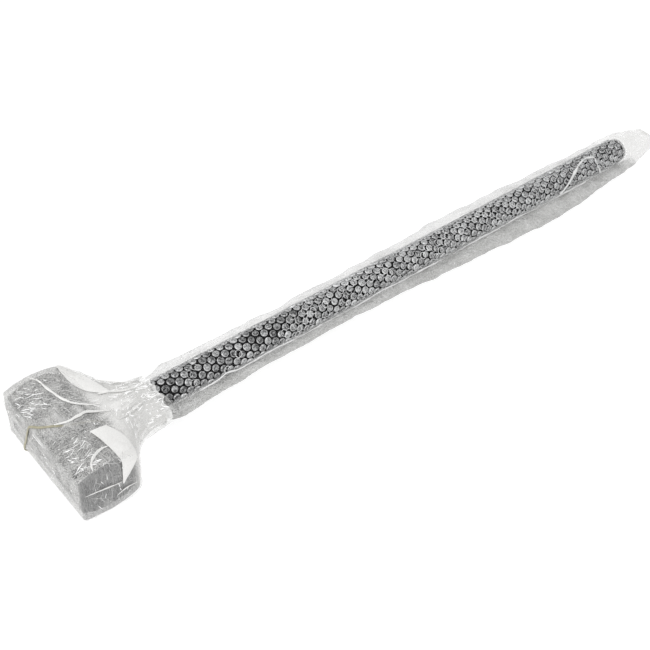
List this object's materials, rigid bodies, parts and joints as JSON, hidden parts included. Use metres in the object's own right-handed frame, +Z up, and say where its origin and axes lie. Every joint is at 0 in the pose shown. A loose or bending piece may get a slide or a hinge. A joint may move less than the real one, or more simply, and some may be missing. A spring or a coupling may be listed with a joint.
{
  "type": "rubber mallet in shipping wrap",
  "caption": "Long-handled rubber mallet lying on its side in shipping wrap: foam and clear film over the block head, bubble wrap on the handle and a pull-off foam sleeve.",
  "frame": {"origin": "the floor under the middle of the wrapped mallet's bounding box", "axes": "+X from the head towards the butt of the handle, which droops by about one degree so that head and sleeve both rest on the floor; Y along the head's striking axis; +Z up"},
  "size_m": [0.9892, 0.1584, 0.0747],
  "materials": {
    "head_rubber": "matt",
    "eye_steel": "turned",
    "potting_resin": "cast",
    "core_fibre": "pultruded glass fibre",
    "jacket_plastic": "moulded",
    "grip_rubber": "matt",
    "bubble_wrap": "clear film with air bubbles",
    "wrap_foam": "thin translucent foam sheet",
    "band_rubber": "natural rubber",
    "clear_film": "clear crinkled film",
    "sleeve_foam": "translucent foam sheet with film"
  },
  "bodies": {
    "mallet": {"head_block": "head_rubber", "eye_liner": "eye_steel", "eye_plug": "head_rubber", "potting_resin": "potting_resin", "handle_core": "core_fibre", "handle_jacket": "jacket_plastic", "neck_collar": "grip_rubber", "grip_sleeve": "grip_rubber", "butt_cap": "head_rubber", "bubble_wrap_roll": "bubble_wrap", "head_foam_wrap": "wrap_foam", "near_foam_flap": "wrap_foam", "far_foam_flap": "wrap_foam", "rubber_band": "band_rubber", "neck_foam_wrap": "wrap_foam", "head_film": "clear_film"},
    "sleeve": {"sleeve_bag": "sleeve_foam"}
  },
  "joints": [
    {"name": "sleeve_slide", "type": "slide", "parent": "mallet", "child": "sleeve", "axis": [0.9998, 0, -0.0192], "range_m": [0, 0.8]}
  ]
}
